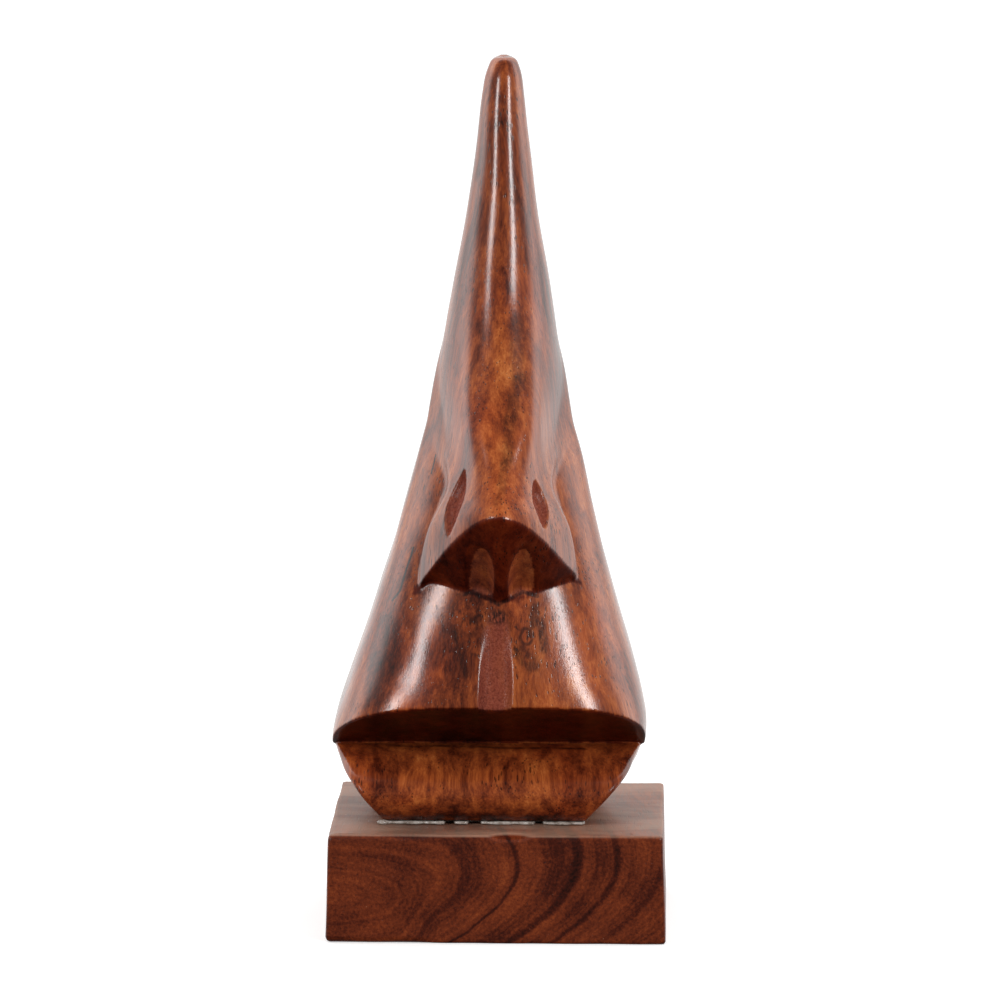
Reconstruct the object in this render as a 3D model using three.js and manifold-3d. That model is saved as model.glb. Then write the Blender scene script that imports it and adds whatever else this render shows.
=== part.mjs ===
// Hand-carved wooden nose stand that keeps a pair of spectacles on its ridge.
// Millimetres, +Z up. X runs to the right, the nose faces -Y, and the base stands on Z = 0.
// "Forward" (f) in the tables below is the distance from the vertical axis towards -Y.
import * as THREE from 'three';
import { LoftGeometry } from 'three/addons/geometries/LoftGeometry.js';
import { mergeVertices } from 'three/addons/utils/BufferGeometryUtils.js';
import Module from 'manifold-3d';

const wasm = await Module();
wasm.setup();

// ---- Driving dimensions ----

// Base block: a planed offcut, a little wider at the bottom, with softened edges.
const BASE_WIDTH_TOP = 63.2;
const BASE_WIDTH_BOTTOM = 64.4;
const BASE_DEPTH = 50.8;
const BASE_HEIGHT = 20.85;
const BASE_EDGE = 0.5;
const BASE_CORNER = 0.6;

// Carving: it stands on a glue film and is flat at the back.
const FOOT_Z = 21.6;
const TIP_Z = 165;
const BACK_F = -16;
const BACK_EXPONENT = 5;
const FACE_COLUMNS = 60;
const FACE_ROWS = 26;
const CHIN_ROWS = 9;

// The carver's hand: the axis drifts from left to right going up, and the face is turned to +X.
const DRIFT_Z = [21.6, 34, 40, 46, 54, 88, 165];
const DRIFT_X = [-2.4, -2.05, -1.45, -1.0, -0.7, 0.15, 1.05];
const FACE_TURN = THREE.MathUtils.degToRad(2.3);
const TURN_START_Z = 24;
const TURN_END_Z = 46;

// Face sections: height, half width, front f, f of the widest line, roundness exponent of the front.
const FACE_LEVELS = [
  [33.8, 30.0, 20.8, -2.6, 3.4],
  [36.5, 30.05, 21.1, -2.7, 3.4],
  [39.5, 29.7, 21.1, -2.8, 3.35],
  [43.8, 28.6, 20.5, -3, 3.25],
  [49.3, 27.0, 19.2, -3, 2.8],
  [57, 24.5, 16.9, -3.3, 2.55],
  [65, 22.1, 14.5, -3.6, 2.35],
  [72.7, 19.8, 12.2, -4, 2.05],
  [80, 17.9, 10.6, -4.8, 1.75],
  [88.3, 15.9, 8.2, -6, 1.5],
  [95, 14.0, 2.2, -7.5, 1.5],
  [103.7, 11.9, -6.5, -9.5, 1.8],
  [112, 9.7, -9.2, -11.2, 2],
  [122, 8.4, -10.2, -12, 2],
  [136.6, 5.9, -11, -12.8, 2],
  [150.4, 4.1, -11.6, -13.2, 2],
  [159.6, 2.9, -12, -13.6, 2],
  [163.4, 2.1, -12.3, -13.8, 2],
  [165, 1.1, -12.6, -14, 2],
];

// Chin sections, in the same columns: it rolls back from its bulge to the straight mouth line.
const CHIN_LEVELS = [
  [21.6, 19.9, 15.5, 0, 7],
  [23.6, 21.6, 17.7, 0, 6.5],
  [26, 24.0, 18.6, -0.4, 6],
  [28.4, 26.2, 17.9, -1, 6],
  [30.6, 28.0, 15.5, -1.6, 6],
  [32.4, 29.0, 11.4, -2.2, 6],
  [33.6, 29.6, 6.6, -2.6, 6],
  [34.3, 30.0, 1.6, -2.6, 6],
];

// Nose sections: height, ridge f, ridge half width, edge half width, edge f, back f.
const NOSE_LEVELS = [
  [62, 26.3, 5.4, 15.2, 10.5, 0],
  [70, 26.2, 5.4, 15.0, 11, 0],
  [77, 26.0, 5.3, 13.5, 12.4, 0],
  [81, 25.2, 5.3, 11.8, 12.6, -1],
  [85, 22.5, 5.6, 10.2, 11.0, -3],
  [90, 19.2, 5.9, 11.0, 3, -8],
  [96, 15.7, 6.5, 12.4, -6, -13],
  [102, 12.3, 6.7, 12.7, -9, -14],
  [112, 7.3, 6.2, 11.0, -10, -14],
  [122, 3.1, 5.0, 9.3, -10.5, -14.2],
  [136, -1.5, 3.4, 6.8, -11, -14.4],
  [150, -4.9, 2.4, 4.9, -12, -14.6],
  [158, -6.9, 1.9, 3.95, -12.6, -14.6],
  [161.5, -7.9, 1.6, 3.4, -12.8, -14.5],
  [164.7, -9.5, 1.1, 2.2, -13, -14.4],
];
const NOSE_ROWS = 34;
const CROWN_BOW = 0.28;
const BELLY_START_Z = 90;
const BELLY_END_Z = 126;
const BELLY = 0.08;
const CORNER_STEPS = 4;

// Mouth: a saw cut with a planar upper side and a rounded chin below it.
const MOUTH_BACK = { f: 2, z: 34.2 };
const MOUTH_LIP = { f: 20.5, z: 44.2 };
const MOUTH_OPEN_F = 40;
const MOUTH_HALF_LENGTH = 45;

// Underside of the nose: a slanted, arched cut that droops at the wings. Only the nose reaches into it.
const UNDER_X = 0.9;
const UNDER_F = 15.5;
const UNDER_Z = 65.2;
const UNDER_SLOPE = 1.647;
const UNDER_SLOPE_LOSS = 0.525;
const UNDER_RISE = 0.179;
const UNDER_BEND = 1.5;
const UNDER_TILT = 0.047;
const UNDER_DROOP = 1.74;
const UNDER_HALF = 13;
const UNDER_END = 15.5;
const UNDER_DEPTH = 60;
const UNDER_START_F = 2;
const UNDER_LENGTH = 28;

// Gouged details of the face. The leaves are given by the ends of their cuts.
const NOSTRIL = { shift: 0.6, x: 4.5, f: 16.2, z: 67.1, halfWidth: 3.1, halfDepth: 1.6, halfLength: 9.8 };
const NOSTRIL_SLOPE = 1.645;
const LEAVES = [
  { top: [-7.0, 14.6, 89.4], bottom: [-9.8, 17.9, 76.7], halfWidth: 2.3, depth: 1.4 },
  { top: [6.6, 16.4, 87.6], bottom: [8.6, 19.2, 78.3], halfWidth: 2.0, depth: 1.3 },
];
const LEAF_OUT = [0.79, 0.51, 0.33];
const PHILTRUM = { halfWidth: 3.0, halfDepth: 1.6, topF: 16.35, topZ: 65, lipF: 20.5, lipZ: 43 };

// Two countersunk screws come up through the block into the foot.
const SCREW_SPACING = 19;
const SCREW_CENTRE_X = -2.5;
const SCREW_Y = 4;
const SCREW_HEAD_Z = 1.2;
const SCREW_HEAD_RADIUS = 3.8;
const SCREW_HEAD_HEIGHT = 2.4;
const SCREW_SHANK_RADIUS = 1.9;
const SCREW_CORE_RADIUS = 1.35;
const SCREW_TIP_Z = 31.2;
const THREAD_START_Z = 17.2;
const THREAD_PITCH = 1.8;
const FIT_GAP = 0.3;

// Glue between the foot and the block, squeezed out along the front edge with three breaks.
const GLUE_BOTTOM_Z = 20.95;
const GLUE_TOP_Z = 21.5;
const GLUE_FRONT_F = 16.1;
const GLUE_RECESS_F = 13.5;
const GLUE_BACK_F = -15.2;
const GLUE_LEFT_X = -21.9;
const GLUE_RIGHT_X = 16.7;
const GLUE_BREAKS = [[-9.8, -8.2], [-5.4, -3.1], [7.2, 8.7]];

// ---- Helpers ----

function material(color, roughness, metalness) {
  return new THREE.MeshStandardMaterial({ color, roughness, metalness });
}

function point(x, f, z) {
  return new THREE.Vector3(x, -f, z);
}

function solidOf(geometry) {
  geometry.deleteAttribute('normal');
  geometry.deleteAttribute('uv');
  const merged = mergeVertices(geometry, 1e-4);
  const triVerts = [];
  const index = merged.index.array;
  for (let i = 0; i < index.length; i += 3) {
    const [a, b, c] = [index[i], index[i + 1], index[i + 2]];
    if (a !== b && b !== c && a !== c) triVerts.push(a, b, c);
  }
  return new wasm.Manifold(new wasm.Mesh({
    numProp: 3,
    vertProperties: new Float32Array(merged.attributes.position.array),
    triVerts: new Uint32Array(triVerts),
  }));
}

// Closed skin through a stack of rings, kept as plain triangles.
function loft(sections) {
  const skin = new LoftGeometry(sections, { capStart: true, capEnd: true });
  return new THREE.BufferGeometry().copy(skin);
}

function geometryOf(solid) {
  const mesh = solid.getMesh();
  const geometry = new THREE.BufferGeometry();
  geometry.setAttribute('position', new THREE.BufferAttribute(mesh.vertProperties, 3));
  geometry.setIndex(new THREE.BufferAttribute(mesh.triVerts, 1));
  geometry.computeVertexNormals();
  return geometry;
}

function cut(solid, cutters) {
  return cutters.reduce((rest, cutter) => rest.subtract(solidOf(cutter)), solid);
}

// Smooth curve through the rows of a table, read at a height.
function tableCurve(levels) {
  const heights = levels.map((row) => row[0]);
  const values = levels.flatMap((row) => row.slice(1));
  const curve = new THREE.CubicInterpolant(heights, values, levels[0].length - 1);
  return (z) => Array.from(curve.evaluate(z));
}

function heightsBetween(low, high, count) {
  return Array.from({ length: count + 1 }, (_, i) => low + (high - low) * i / count);
}

// Half-round power used by the superellipse sections.
function signedPower(value, power) {
  return Math.sign(value) * Math.abs(value) ** power;
}

// Moves a straight piece of the carving to where the carver's hand left it.
function handed(geometry) {
  const position = geometry.attributes.position;
  const drift = new THREE.LinearInterpolant(DRIFT_Z, DRIFT_X, 1);
  for (let i = 0; i < position.count; i += 1) {
    const [x, y, z] = [position.getX(i), position.getY(i), position.getZ(i)];
    const turn = FACE_TURN * THREE.MathUtils.smoothstep(z, TURN_START_Z, TURN_END_Z);
    const turnedX = x * Math.cos(turn) - y * Math.sin(turn);
    const turnedY = y * Math.cos(turn) + x * Math.sin(turn);
    position.setXYZ(i, turnedX + drift.evaluate(z)[0], turnedY, z);
  }
  return geometry;
}

// Closed outline with every corner rounded by the same number of points.
function roundedOutline(corners, steps) {
  const outline = [];
  corners.forEach(([x, f, radius], i) => {
    const here = new THREE.Vector2(x, f);
    const before = new THREE.Vector2(...corners[(i + corners.length - 1) % corners.length]);
    const after = new THREE.Vector2(...corners[(i + 1) % corners.length]);
    const start = here.clone().add(before.sub(here).setLength(radius));
    const end = here.clone().add(after.sub(here).setLength(radius));
    outline.push(...new THREE.QuadraticBezierCurve(start, here, end).getPoints(steps));
  });
  return outline;
}

// ---- Carving ----

function faceSection(z, read) {
  const [halfWidth, front, middle, frontExponent] = read(z);
  const ring = [];
  for (let i = 0; i < FACE_COLUMNS; i += 1) {
    const angle = 2 * Math.PI * i / FACE_COLUMNS;
    const ahead = Math.sin(angle) > 0;
    const power = 2 / (ahead ? frontExponent : BACK_EXPONENT);
    const reach = ahead ? front - middle : middle - BACK_F;
    const x = halfWidth * signedPower(Math.cos(angle), power);
    ring.push(point(x, middle + reach * signedPower(Math.sin(angle), power), z));
  }
  return ring.reverse();
}

function faceGeometry() {
  const read = tableCurve(FACE_LEVELS);
  const heights = heightsBetween(FACE_LEVELS[0][0], 158, FACE_ROWS);
  heights.push(160, 161.8, 163.2, 164.2, 164.8, TIP_Z);
  return loft(heights.map((z) => faceSection(z, read)));
}

function chinGeometry() {
  const read = tableCurve(CHIN_LEVELS);
  const heights = heightsBetween(FOOT_Z, 32.4, CHIN_ROWS);
  heights.push(33, 33.5, 33.9, 34.3);
  return loft(heights.map((z) => faceSection(z, read)));
}

// The flanks are flat by the nostrils and swell outward towards the top.
function noseSection(z, read) {
  const [ridge, band, edge, edgeF, back] = read(z);
  const roundness = Math.min(4, band * 0.6);
  const edgeRadius = Math.min(THREE.MathUtils.clamp((z - 80) * 0.15, 0.7, 1.6), edge * 0.3);
  const bandF = ridge - CROWN_BOW * band;
  const swell = BELLY * THREE.MathUtils.smoothstep(z, BELLY_START_Z, BELLY_END_Z);
  const swollenX = (edge + band) / 2 + swell * (bandF - edgeF);
  const swollenF = (edgeF + bandF) / 2 + swell * (edge - band);
  const half = [
    [edge * 0.88, back, 0.3],
    [edge, edgeF, edgeRadius],
    [swollenX, swollenF, edgeRadius],
    [band, bandF, roundness],
  ];
  const mirrored = half.slice().reverse().map(([x, f, radius]) => [-x, f, radius]);
  const corners = [...half, [0, ridge, band * 0.38], ...mirrored];
  return roundedOutline(corners, CORNER_STEPS).map(({ x, y }) => point(x, y, z)).reverse();
}

function noseGeometry() {
  const read = tableCurve(NOSE_LEVELS);
  const first = NOSE_LEVELS[0][0];
  const last = NOSE_LEVELS[NOSE_LEVELS.length - 1][0];
  return loft(heightsBetween(first, last, NOSE_ROWS).map((z) => noseSection(z, read)));
}

// Everything in front of the mouth line and below the planar underside of the upper lip.
function mouthCutter() {
  const slope = (MOUTH_LIP.z - MOUTH_BACK.z) / (MOUTH_LIP.f - MOUTH_BACK.f);
  const openZ = MOUTH_BACK.z + slope * (MOUTH_OPEN_F - MOUTH_BACK.f);
  const outline = new THREE.Shape();
  outline.moveTo(MOUTH_BACK.f, MOUTH_BACK.z);
  outline.lineTo(MOUTH_OPEN_F, openZ);
  outline.lineTo(MOUTH_OPEN_F, FOOT_Z);
  outline.lineTo(MOUTH_BACK.f, FOOT_Z);
  const geometry = new THREE.ExtrudeGeometry(outline, {
    depth: 2 * MOUTH_HALF_LENGTH, steps: 30, bevelEnabled: false,
  });
  geometry.translate(0, 0, -MOUTH_HALF_LENGTH);
  const turn = new THREE.Matrix4().set(0, 0, -1, 0, -1, 0, 0, 0, 0, 1, 0, 0, 0, 0, 0, 1);
  return geometry.applyMatrix4(turn);
}

// Everything under the slanted, arched underside of the nose.
function undersideCutter() {
  const outline = new THREE.Shape();
  const steps = 30;
  const end = UNDER_END + UNDER_X;
  outline.moveTo(-end, -UNDER_DEPTH);
  outline.lineTo(end, -UNDER_DEPTH);
  for (let i = 0; i <= steps; i += 1) outline.lineTo(end * (1 - 2 * i / steps), 0);
  const geometry = new THREE.ExtrudeGeometry(outline, {
    depth: UNDER_LENGTH, steps: 12, bevelEnabled: false,
  });
  const position = geometry.attributes.position;
  for (let i = 0; i < position.count; i += 1) {
    const x = position.getX(i);
    const f = position.getZ(i) + UNDER_START_F;
    const share = Math.min(Math.abs(x - UNDER_X), UNDER_END) / UNDER_HALF;
    const rise = UNDER_RISE * (share * UNDER_HALF) ** UNDER_BEND - UNDER_DROOP * share ** 8;
    const slope = UNDER_SLOPE - UNDER_SLOPE_LOSS * share ** 4;
    const z = UNDER_Z + UNDER_TILT * x + rise + slope * (f - UNDER_F);
    position.setXYZ(i, x, -f, z + position.getY(i));
  }
  return geometry;
}

function nostrilCutter(side) {
  const { shift, x, f, z, halfWidth, halfDepth, halfLength } = NOSTRIL;
  const geometry = new THREE.SphereGeometry(1, 18, 12);
  geometry.scale(halfWidth, halfDepth, halfLength);
  geometry.rotateX(Math.PI / 2 - Math.atan(NOSTRIL_SLOPE));
  geometry.translate(shift + side * x, -f, z);
  return geometry;
}

// A leaf-shaped hollow, pointed at both ends and gouged into the flank of the nose.
function leafCutter({ top, bottom, halfWidth, depth }) {
  const start = point(...bottom);
  const end = point(...top);
  const along = end.clone().sub(start).normalize();
  const out = point(Math.sign(top[0]) * LEAF_OUT[0], LEAF_OUT[1], LEAF_OUT[2]);
  out.addScaledVector(along, -out.dot(along)).normalize();
  const across = new THREE.Vector3().crossVectors(along, out);
  const half = start.distanceTo(end) / 2;
  const profile = [];
  for (let i = 0; i <= 12; i += 1) {
    const share = i / 6 - 1;
    profile.push(new THREE.Vector2(Math.max(0, 1 - share * share), share * half));
  }
  const geometry = new THREE.LatheGeometry(profile, 18);
  geometry.scale(halfWidth, 1, depth);
  geometry.applyMatrix4(new THREE.Matrix4().makeBasis(across, along, out));
  const middle = start.add(end).multiplyScalar(0.5);
  return geometry.translate(middle.x, middle.y, middle.z);
}

// A round gouge that deepens from under the nose to the lip.
function philtrumCutter() {
  const { halfWidth, halfDepth, topF, topZ, lipF, lipZ } = PHILTRUM;
  const top = point(0, topF, topZ);
  const lip = point(0, lipF, lipZ);
  const along = lip.clone().sub(top).normalize();
  const geometry = new THREE.CylinderGeometry(1, 1, top.distanceTo(lip) + 8, 20);
  geometry.scale(halfWidth, 1, halfDepth);
  geometry.applyQuaternion(new THREE.Quaternion().setFromUnitVectors(new THREE.Vector3(0, -1, 0), along));
  const middle = top.clone().add(lip).multiplyScalar(0.5).addScaledVector(along, 4);
  geometry.translate(middle.x, middle.y, middle.z);
  return geometry;
}

function screwX(side) {
  return SCREW_CENTRE_X + side * SCREW_SPACING / 2;
}

function pilotCutter(side) {
  const top = SCREW_TIP_Z + FIT_GAP + 0.3;
  const geometry = new THREE.CylinderGeometry(
    SCREW_SHANK_RADIUS + FIT_GAP, SCREW_SHANK_RADIUS + FIT_GAP, top - FOOT_Z + 2, 20,
  );
  geometry.rotateX(Math.PI / 2);
  geometry.translate(screwX(side), SCREW_Y, (top + FOOT_Z - 2) / 2);
  return geometry;
}

function carving() {
  const noseCutters = [undersideCutter(), nostrilCutter(-1), nostrilCutter(1)];
  const nose = cut(solidOf(handed(noseGeometry())), noseCutters.map(handed));
  const face = cut(solidOf(handed(faceGeometry())), [handed(philtrumCutter())]);
  const head = cut(face.add(nose), [mouthCutter(), ...LEAVES.map(leafCutter)].map(handed));
  const chin = solidOf(handed(chinGeometry()));
  return cut(head.add(chin), [pilotCutter(-1), pilotCutter(1)]);
}

// ---- Base block ----

function blockSection(z, inset) {
  const share = z / BASE_HEIGHT;
  const x = THREE.MathUtils.lerp(BASE_WIDTH_BOTTOM, BASE_WIDTH_TOP, share) / 2 - inset;
  const f = BASE_DEPTH / 2 - inset;
  const corners = [[x, -f], [x, f], [-x, f], [-x, -f]].map(([a, b]) => [a, b, BASE_CORNER]);
  return roundedOutline(corners, 4).map((p) => point(p.x, p.y, z)).reverse();
}

function blockGeometry() {
  const soft = BASE_EDGE * 0.29;
  return loft([
    blockSection(0, BASE_EDGE),
    blockSection(soft, soft),
    blockSection(BASE_EDGE, 0),
    blockSection(BASE_HEIGHT - BASE_EDGE, 0),
    blockSection(BASE_HEIGHT - soft, soft),
    blockSection(BASE_HEIGHT, BASE_EDGE),
  ]);
}

// Clearance hole with a countersink at the underside, as one turned cutter.
function countersinkCutter(side) {
  const mouth = SCREW_HEAD_RADIUS + FIT_GAP;
  const hole = SCREW_SHANK_RADIUS + FIT_GAP;
  const seatZ = SCREW_HEAD_Z - FIT_GAP;
  const profile = [
    new THREE.Vector2(0, -1),
    new THREE.Vector2(mouth, -1),
    new THREE.Vector2(mouth, seatZ + FIT_GAP),
    new THREE.Vector2(hole, seatZ + SCREW_HEAD_HEIGHT + 2 * FIT_GAP),
    new THREE.Vector2(hole, BASE_HEIGHT + 1),
    new THREE.Vector2(0, BASE_HEIGHT + 1),
  ];
  return turned(profile, side, 28);
}

function turned(profile, side, segments) {
  const geometry = new THREE.LatheGeometry(profile, segments);
  geometry.rotateX(Math.PI / 2);
  geometry.scale(1, -1, 1);
  const index = geometry.index;
  for (let i = 0; i < index.count; i += 3) {
    const swap = index.getX(i);
    index.setX(i, index.getX(i + 1));
    index.setX(i + 1, swap);
  }
  geometry.translate(screwX(side), SCREW_Y, 0);
  return geometry;
}

function block() {
  return cut(solidOf(blockGeometry()), [countersinkCutter(-1), countersinkCutter(1)]);
}

// ---- Glue film ----

function glueGeometry() {
  const outline = new THREE.Shape();
  outline.moveTo(GLUE_LEFT_X + 0.8, GLUE_BACK_F);
  outline.lineTo(GLUE_LEFT_X + 0.8, GLUE_RECESS_F);
  outline.lineTo(GLUE_LEFT_X, GLUE_FRONT_F);
  for (const [start, end] of GLUE_BREAKS) {
    outline.lineTo(start, GLUE_FRONT_F);
    outline.lineTo(start + 0.2, GLUE_RECESS_F);
    outline.lineTo(end - 0.2, GLUE_RECESS_F);
    outline.lineTo(end, GLUE_FRONT_F);
  }
  outline.lineTo(GLUE_RIGHT_X, GLUE_FRONT_F);
  outline.lineTo(GLUE_RIGHT_X - 0.8, GLUE_RECESS_F);
  outline.lineTo(GLUE_RIGHT_X - 0.8, GLUE_BACK_F);
  for (const side of [-1, 1]) {
    const hole = new THREE.Path();
    hole.absarc(screwX(side), -SCREW_Y, SCREW_SHANK_RADIUS + 2 * FIT_GAP, 0, 2 * Math.PI);
    outline.holes.push(hole);
  }
  const geometry = new THREE.ExtrudeGeometry(outline, {
    depth: GLUE_TOP_Z - GLUE_BOTTOM_Z, bevelEnabled: false, curveSegments: 10,
  });
  geometry.rotateX(Math.PI);
  geometry.translate(0, 0, GLUE_TOP_Z);
  return geometry;
}

// ---- Screws ----

// Turned outline from the head up to the point, with the thread as rounded rings.
function screwProfile() {
  const neckZ = SCREW_HEAD_Z + SCREW_HEAD_HEIGHT;
  const profile = [
    new THREE.Vector2(0, SCREW_HEAD_Z),
    new THREE.Vector2(SCREW_HEAD_RADIUS, SCREW_HEAD_Z),
    new THREE.Vector2(SCREW_HEAD_RADIUS, SCREW_HEAD_Z + 0.4),
    new THREE.Vector2(SCREW_SHANK_RADIUS, neckZ),
    new THREE.Vector2(SCREW_SHANK_RADIUS, THREAD_START_Z),
  ];
  for (let z = THREAD_START_Z + 0.4; z < SCREW_TIP_Z - 3; z += THREAD_PITCH) {
    profile.push(new THREE.Vector2(SCREW_CORE_RADIUS, z));
    profile.push(new THREE.Vector2(SCREW_SHANK_RADIUS, z + THREAD_PITCH / 2));
  }
  profile.push(new THREE.Vector2(SCREW_CORE_RADIUS, SCREW_TIP_Z - 2.4));
  profile.push(new THREE.Vector2(0, SCREW_TIP_Z));
  return profile;
}

function screw(side) {
  const slots = [0, 1].map((quarter) => {
    const slot = new THREE.BoxGeometry(4.4, 0.9, 2.8);
    slot.rotateZ(quarter * Math.PI / 2);
    slot.translate(screwX(side), SCREW_Y, SCREW_HEAD_Z);
    return slot;
  });
  return cut(solidOf(turned(screwProfile(), side, 20)), slots);
}

// ---- Assembly ----

function part(name, geometry, look) {
  const mesh = new THREE.Mesh(geometry, look);
  mesh.name = name;
  return mesh;
}

const stand = new THREE.Group();
stand.name = 'nose_spectacle_stand';
stand.add(part('base_block', geometryOf(block()), material(0x6b3222, 0.4, 0)));
stand.add(part('nose_carving', geometryOf(carving()), material(0x8a4524, 0.3, 0)));
stand.add(part('glue_film', glueGeometry(), material(0xb3aaa2, 0.25, 0)));
stand.add(part('screw_left', geometryOf(screw(-1)), material(0xb8934a, 0.35, 1)));
stand.add(part('screw_right', geometryOf(screw(1)), material(0xb8934a, 0.35, 1)));

export default stand;
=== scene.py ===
import functools
import math

import bpy
import numpy as np
from mathutils import Matrix, Vector


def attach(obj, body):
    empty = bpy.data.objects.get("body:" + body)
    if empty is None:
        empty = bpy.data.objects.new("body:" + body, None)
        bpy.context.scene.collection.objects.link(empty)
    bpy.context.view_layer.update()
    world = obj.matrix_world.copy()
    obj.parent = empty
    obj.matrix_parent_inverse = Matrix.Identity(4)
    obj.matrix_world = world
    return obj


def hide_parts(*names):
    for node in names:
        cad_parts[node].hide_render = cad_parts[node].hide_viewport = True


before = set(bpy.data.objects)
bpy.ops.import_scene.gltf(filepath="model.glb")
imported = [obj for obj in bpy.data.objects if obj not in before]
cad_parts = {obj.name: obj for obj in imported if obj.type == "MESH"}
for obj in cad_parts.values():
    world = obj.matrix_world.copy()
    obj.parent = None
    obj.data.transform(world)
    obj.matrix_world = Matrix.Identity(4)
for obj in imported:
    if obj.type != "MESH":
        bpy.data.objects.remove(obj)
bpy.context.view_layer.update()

MM = 0.001

# ---------------------------------------------------------------------------
# Shape of the carving, in millimetres. f is the distance forward, towards -Y.
# ---------------------------------------------------------------------------

FOOT_Z, TIP_Z, BACK_F = 21.6, 165.0, -16.0

# How far the carver's hand left the straight form: a sideways drift by height, and a turn of the face.
DRIFT_Z = [21.6, 34, 40, 46, 54, 88, 165]
DRIFT_X = [-2.4, -2.05, -1.45, -1.0, -0.7, 0.15, 1.05]
FACE_TURN, TURN_START_Z, TURN_END_Z = math.radians(2.3), 24.0, 46.0

# height, half width, front f, f of the widest line, roundness of the front
FACE_LEVELS = [
    (33.8, 30.0, 20.8, -2.6, 3.4),
    (36.5, 30.05, 21.1, -2.7, 3.4),
    (39.5, 29.7, 21.1, -2.8, 3.35),
    (43.8, 28.6, 20.5, -3, 3.25),
    (49.3, 27.0, 19.2, -3, 2.8),
    (57, 24.5, 16.9, -3.3, 2.55),
    (65, 22.1, 14.5, -3.6, 2.35),
    (72.7, 19.8, 12.2, -4, 2.05),
    (80, 17.9, 10.6, -4.8, 1.75),
    (88.3, 15.9, 8.2, -6, 1.5),
    (95, 14.0, 2.2, -7.5, 1.5),
    (103.7, 11.9, -6.5, -9.5, 1.8),
    (112, 9.7, -9.2, -11.2, 2),
    (122, 8.4, -10.2, -12, 2),
    (136.6, 5.9, -11, -12.8, 2),
    (150.4, 4.1, -11.6, -13.2, 2),
    (159.6, 2.9, -12, -13.6, 2),
    (163.4, 2.1, -12.3, -13.8, 2),
    (165, 1.1, -12.6, -14, 2),
]
# height, ridge f, ridge half width, edge half width, edge f, back f, ridge rounding
NOSE_LEVELS = [
    (62, 26.3, 5.4, 15.2, 10.5, 0, 5.5),
    (70, 26.2, 5.4, 15.0, 11, 0, 5.5),
    (77, 26.0, 5.3, 13.5, 12.4, 0, 5.5),
    (81, 25.2, 5.3, 11.8, 12.6, -1, 5.5),
    (85, 22.5, 5.6, 10.2, 11.0, -3, 5),
    (90, 19.2, 5.9, 11.0, 3, -8, 4.5),
    (96, 15.7, 6.5, 12.4, -6, -13, 2.6),
    (102, 12.3, 6.7, 12.7, -9, -14, 2.1),
    (112, 7.3, 6.4, 11.0, -10, -14, 1.7),
    (122, 3.1, 5.4, 9.3, -10.5, -14.2, 1.6),
    (136, -1.5, 3.6, 6.8, -11, -14.4, 1.5),
    (150, -4.9, 2.5, 5.0, -12, -14.6, 1.1),
    (158, -6.9, 2.0, 4.05, -12.6, -14.6, 1.0),
    (161.5, -7.9, 1.7, 3.5, -12.8, -14.5, 1.0),
    (165, -9.6, 1.3, 2.3, -13, -14.4, 1.0),
]
# height, half width of the chin
CHIN_LEVELS = [
    (21.6, 20.9),
    (23.6, 22.6),
    (26, 24.8),
    (28.4, 26.8),
    (30.6, 28.4),
    (32.4, 29.1),
    (34.3, 29.8),
    (36.5, 30.05),
]
# f, z down the middle of the chin, from the mouth line to the foot
CHIN_PROFILE = [
    (1.6, 34.3),
    (6.6, 33.6),
    (11.4, 32.4),
    (15.5, 30.6),
    (17.9, 28.4),
    (18.6, 26),
    (17.7, 23.6),
    (15.5, 21.6),
]
MOUTH_BACK, MOUTH_LIP = (2.0, 34.2), (20.5, 44.2)
# The cut under the nose: a sloping plane that rises to the sides and grows flatter there.
UNDER_X, UNDER_F, UNDER_Z, UNDER_HALF, UNDER_END = 0.9, 15.5, 65.2, 13.0, 15.5
UNDER_RISE, UNDER_BEND, UNDER_TILT = 0.179, 1.5, 0.047
UNDER_DROOP, UNDER_SLOPE, UNDER_SLOPE_LOSS = 1.74, 1.647, 0.525
# Pointed gouge cuts beside the nose: top and bottom points (x, f, z), half width, depth
LEAVES = [
    ((-7.0, 14.6, 89.4), (-9.8, 17.9, 76.7), 2.3, 1.4),
    ((6.6, 16.4, 87.6), (8.6, 19.2, 78.3), 2.0, 1.3),
]
LEAF_OUT = (0.79, 0.51, 0.33)
NOSTRIL_CENTRE, NOSTRIL_HALF, NOSTRIL_SLOPE = (4.5, 16.2, 67.1), (3.1, 1.6, 9.8), 1.645
NOSTRIL_SHIFT, CROWN_BOW = 0.6, 0.28
CHIN_TAPER, CHIN_TAPER_F = 0.1, -2.0
# The flat-sided nose turns into a rounded one between these heights.
ARCH_START_Z, ARCH_END_Z = 90.0, 126.0
# The groove above the lip: f, z of its two ends, then its half width and half depth
PHILTRUM_TOP, PHILTRUM_LOW, PHILTRUM_HALF = (16.35, 65.0), (20.5, 43.0), (3.0, 1.6)


def smooth_table(levels, step=0.05):
    """Smooth curve through a table's rows: a function of height giving one array per column."""
    rows = np.array(levels, float)
    t, v = rows[:, 0], rows[:, 1:]
    secant = np.diff(v, axis=0) / np.diff(t)[:, None]
    slope = np.vstack([secant[:1], (secant[1:] + secant[:-1]) / 2, secant[-1:]])
    grid = np.arange(t[0], t[-1] + step, step)
    i = np.clip(np.searchsorted(t, grid, side="right") - 1, 0, len(t) - 2)
    span = (t[i + 1] - t[i])[:, None]
    p = np.clip((grid - t[i])[:, None] / span, 0, 1)
    curve = (
        (2 * p**3 - 3 * p**2 + 1) * v[i]
        + (p**3 - 2 * p**2 + p) * span * slope[i]
        + (3 * p**2 - 2 * p**3) * v[i + 1]
        + (p**3 - p**2) * span * slope[i + 1]
    )
    return lambda z: [np.interp(z, grid, column) for column in curve.T]


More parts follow.
